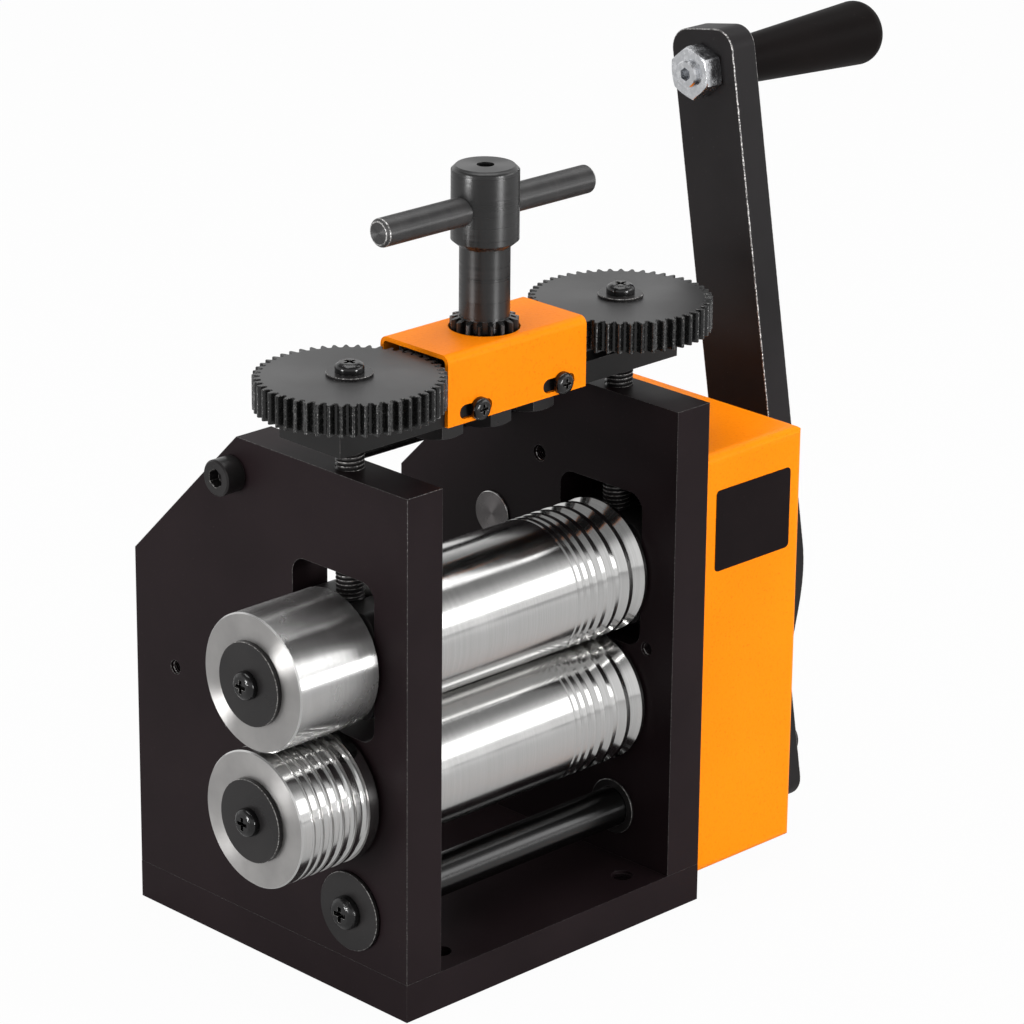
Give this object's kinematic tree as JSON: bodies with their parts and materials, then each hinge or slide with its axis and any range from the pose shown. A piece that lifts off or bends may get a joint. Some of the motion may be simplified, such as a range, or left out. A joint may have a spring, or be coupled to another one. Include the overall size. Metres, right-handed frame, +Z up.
{
  "type": "jewellers rolling mill",
  "caption": "Hand-cranked bench rolling mill with a pair of steel rolls, wire grooves, geared gap adjuster with a T-handle, gear cover and a long crank.",
  "frame": {"origin": "centre of the base plate's underside, on the bench", "axes": "+X along the rolls towards the gear cover and crank, -Y towards the feeding side, +Z up"},
  "size_m": [0.3425, 0.14, 0.2995],
  "materials": {
    "black_paint": "satin black enamel",
    "black_oxide": "blackened steel, satin",
    "gear_steel": "dark oiled steel, machined",
    "roll_steel": "ground and polished",
    "zinc": "zinc plated",
    "bright_steel": "machined",
    "bronze": "sintered bronze",
    "orange_paint": "gloss powder coat",
    "grip_plastic": "satin"
  },
  "bodies": {
    "frame": {"base_plate": "black_paint", "near_side_plate": "black_paint", "far_side_plate": "black_paint", "plate_bolts": "black_oxide", "tie_rod": "black_oxide", "tie_rod_screws": "black_oxide", "near_lower_bush": "bronze", "far_lower_bush": "bronze", "drive_bushes": "black_oxide", "gear_cover": "orange_paint", "cover_posts": "bright_steel", "cover_screws": "black_oxide"},
    "bridge": {"cross_plate": "black_oxide", "handle_bracket": "orange_paint", "bracket_screws": "black_oxide", "idler_pins": "bright_steel", "idler_nuts": "black_oxide"},
    "near_adjuster": {"near_adjusting_screw": "black_oxide", "near_adjusting_gear": "gear_steel", "near_gear_washer": "black_oxide", "near_gear_screw": "black_oxide"},
    "far_adjuster": {"far_adjusting_screw": "black_oxide", "far_adjusting_gear": "gear_steel", "far_gear_washer": "black_oxide", "far_gear_screw": "black_oxide"},
    "near_idler": {"near_idler_gear": "gear_steel"},
    "far_idler": {"far_idler_gear": "gear_steel"},
    "handle": {"handle_spindle": "black_oxide", "cross_bar": "black_oxide", "spindle_nut": "black_oxide", "bar_set_screw": "black_oxide"},
    "upper_bearings": {"near_bearing_block": "black_oxide", "far_bearing_block": "black_oxide", "near_upper_bush": "bronze", "far_upper_bush": "bronze"},
    "upper_roller": {"upper_roll": "roll_steel", "upper_side_roll": "roll_steel", "upper_side_washer": "black_oxide", "upper_side_screw": "black_oxide", "upper_coupling_gear": "gear_steel", "upper_gear_fastener": "black_oxide"},
    "lower_roller": {"lower_roll": "roll_steel", "lower_side_roll": "roll_steel", "lower_side_washer": "black_oxide", "lower_side_screw": "black_oxide", "lower_coupling_gear": "gear_steel", "main_gear": "gear_steel", "lower_gear_fastener": "black_oxide"},
    "crank": {"drive_shaft": "black_oxide", "drive_pinion": "gear_steel", "drive_shaft_washer": "black_oxide", "drive_shaft_screw": "black_oxide", "crank_arm": "black_oxide", "crank_fastener": "black_oxide", "grip_stud": "bright_steel", "grip_nut": "zinc"},
    "grip": {"handle_grip": "grip_plastic"}
  },
  "joints": [
    {"name": "handle_turn", "type": "hinge", "parent": "bridge", "child": "handle", "pos_m": [0, -0.03125, 0.215], "axis": [0, 0, 1], "range_deg": [-283, 4589]},
    {"name": "bridge_lift", "type": "slide", "parent": "frame", "child": "bridge", "axis": [0, 0, 1], "range_m": [-0.0004, 0.0065]},
    {"name": "bearing_lift", "type": "slide", "parent": "frame", "child": "upper_bearings", "axis": [0, 0, 1], "range_m": [-0.0004, 0.0065]},
    {"name": "near_adjuster_turn", "type": "hinge", "parent": "bridge", "child": "near_adjuster", "pos_m": [-0.064, -0.0335, 0.215], "axis": [0, 0, 1], "range_deg": [-96.1, 1560.1]},
    {"name": "far_adjuster_turn", "type": "hinge", "parent": "bridge", "child": "far_adjuster", "pos_m": [0.064, -0.0335, 0.215], "axis": [0, 0, 1], "range_deg": [-96.1, 1560.1]},
    {"name": "near_idler_turn", "type": "hinge", "parent": "bridge", "child": "near_idler", "pos_m": [-0.02164, -0.0301, 0.215], "axis": [0, 0, 1], "range_deg": [-4334, 267]},
    {"name": "far_idler_turn", "type": "hinge", "parent": "bridge", "child": "far_idler", "pos_m": [0.02164, -0.0301, 0.215], "axis": [0, 0, 1], "range_deg": [-4334, 267]},
    {"name": "crank_turn", "type": "hinge", "parent": "frame", "child": "crank", "pos_m": [0, -0.0425, 0.03308], "axis": [1, 0, 0], "continuous": true},
    {"name": "lower_roll_turn", "type": "hinge", "parent": "frame", "child": "lower_roller", "pos_m": [0, -0.0335, 0.075], "axis": [1, 0, 0], "continuous": true},
    {"name": "upper_roll_turn", "type": "hinge", "parent": "upper_bearings", "child": "upper_roller", "pos_m": [0, -0.0335, 0.1245], "axis": [1, 0, 0], "continuous": true},
    {"name": "grip_spin", "type": "hinge", "parent": "crank", "child": "grip", "pos_m": [0.19, 0.0003, 0.28345], "axis": [1, 0, 0], "continuous": true}
  ],
  "couplings": [
    {"joint": "handle_turn", "follows": "bridge_lift", "rad_per_m": 12320},
    {"joint": "bearing_lift", "follows": "bridge_lift", "ratio": 1},
    {"joint": "near_adjuster_turn", "follows": "bridge_lift", "rad_per_m": 4188.8},
    {"joint": "far_adjuster_turn", "follows": "bridge_lift", "rad_per_m": 4188.8},
    {"joint": "near_idler_turn", "follows": "bridge_lift", "rad_per_m": -11636},
    {"joint": "far_idler_turn", "follows": "bridge_lift", "rad_per_m": -11636},
    {"joint": "lower_roll_turn", "follows": "crank_turn", "ratio": -0.4},
    {"joint": "upper_roll_turn", "follows": "crank_turn", "ratio": 0.4}
  ]
}
